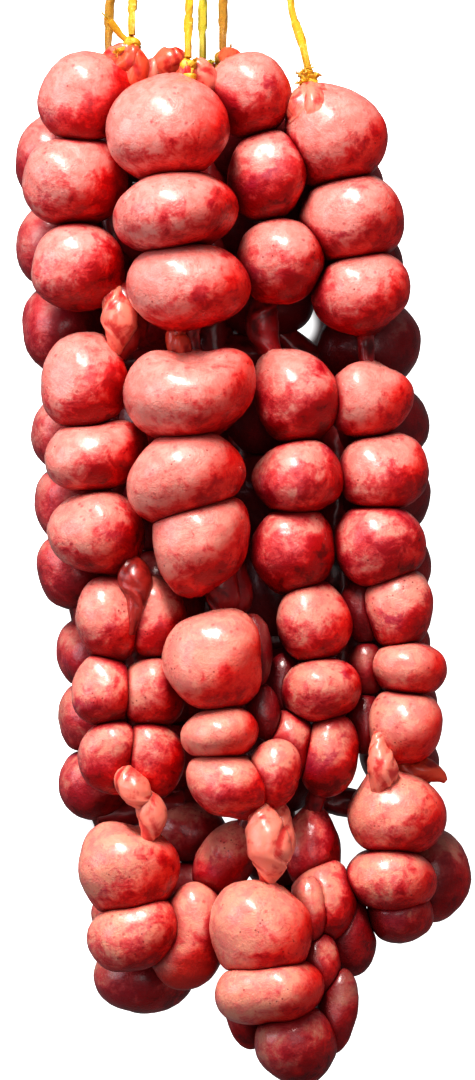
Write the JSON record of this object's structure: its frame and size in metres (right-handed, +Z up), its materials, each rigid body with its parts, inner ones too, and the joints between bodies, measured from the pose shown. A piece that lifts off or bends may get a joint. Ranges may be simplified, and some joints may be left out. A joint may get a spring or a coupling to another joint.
{
  "type": "bundle of sausage strings",
  "caption": "Hanging bundle of fresh sausage strings, plump pinched links joined by twisted casing, tied with yellow twine, lying on its back.",
  "frame": {"origin": "middle of the footprint of the six strings, on the table that they lie on", "axes": "+Y up along the strings towards their ties, +X across the bundle to the right as it is seen, +Z up from the table, towards whoever looks at the bundle's front"},
  "size_m": [0.1689, 0.4689, 0.0906],
  "materials": {
    "sausage": "wet, glossy raw meat mottled pink and dark red in thin clear casing",
    "twine": "flat twisted yellow plastic twine"
  },
  "bodies": {
    "root": {"string_centre": "sausage", "string_left": "sausage", "string_right_centre": "sausage", "string_right": "sausage", "string_back_left": "sausage", "string_back_right": "sausage", "tie_knot_centre": "twine", "tie_knot_left": "twine", "tie_knot_right_centre": "twine", "tie_knot_right": "twine", "tie_knot_back_left": "twine", "tie_knot_back_right": "twine", "tie_centre": "twine", "tie_left": "twine", "tie_right_centre": "twine", "tie_right": "twine", "tie_back_left": "twine", "tie_back_right": "twine", "top_knot": "twine"}
  },
  "joints": []
}
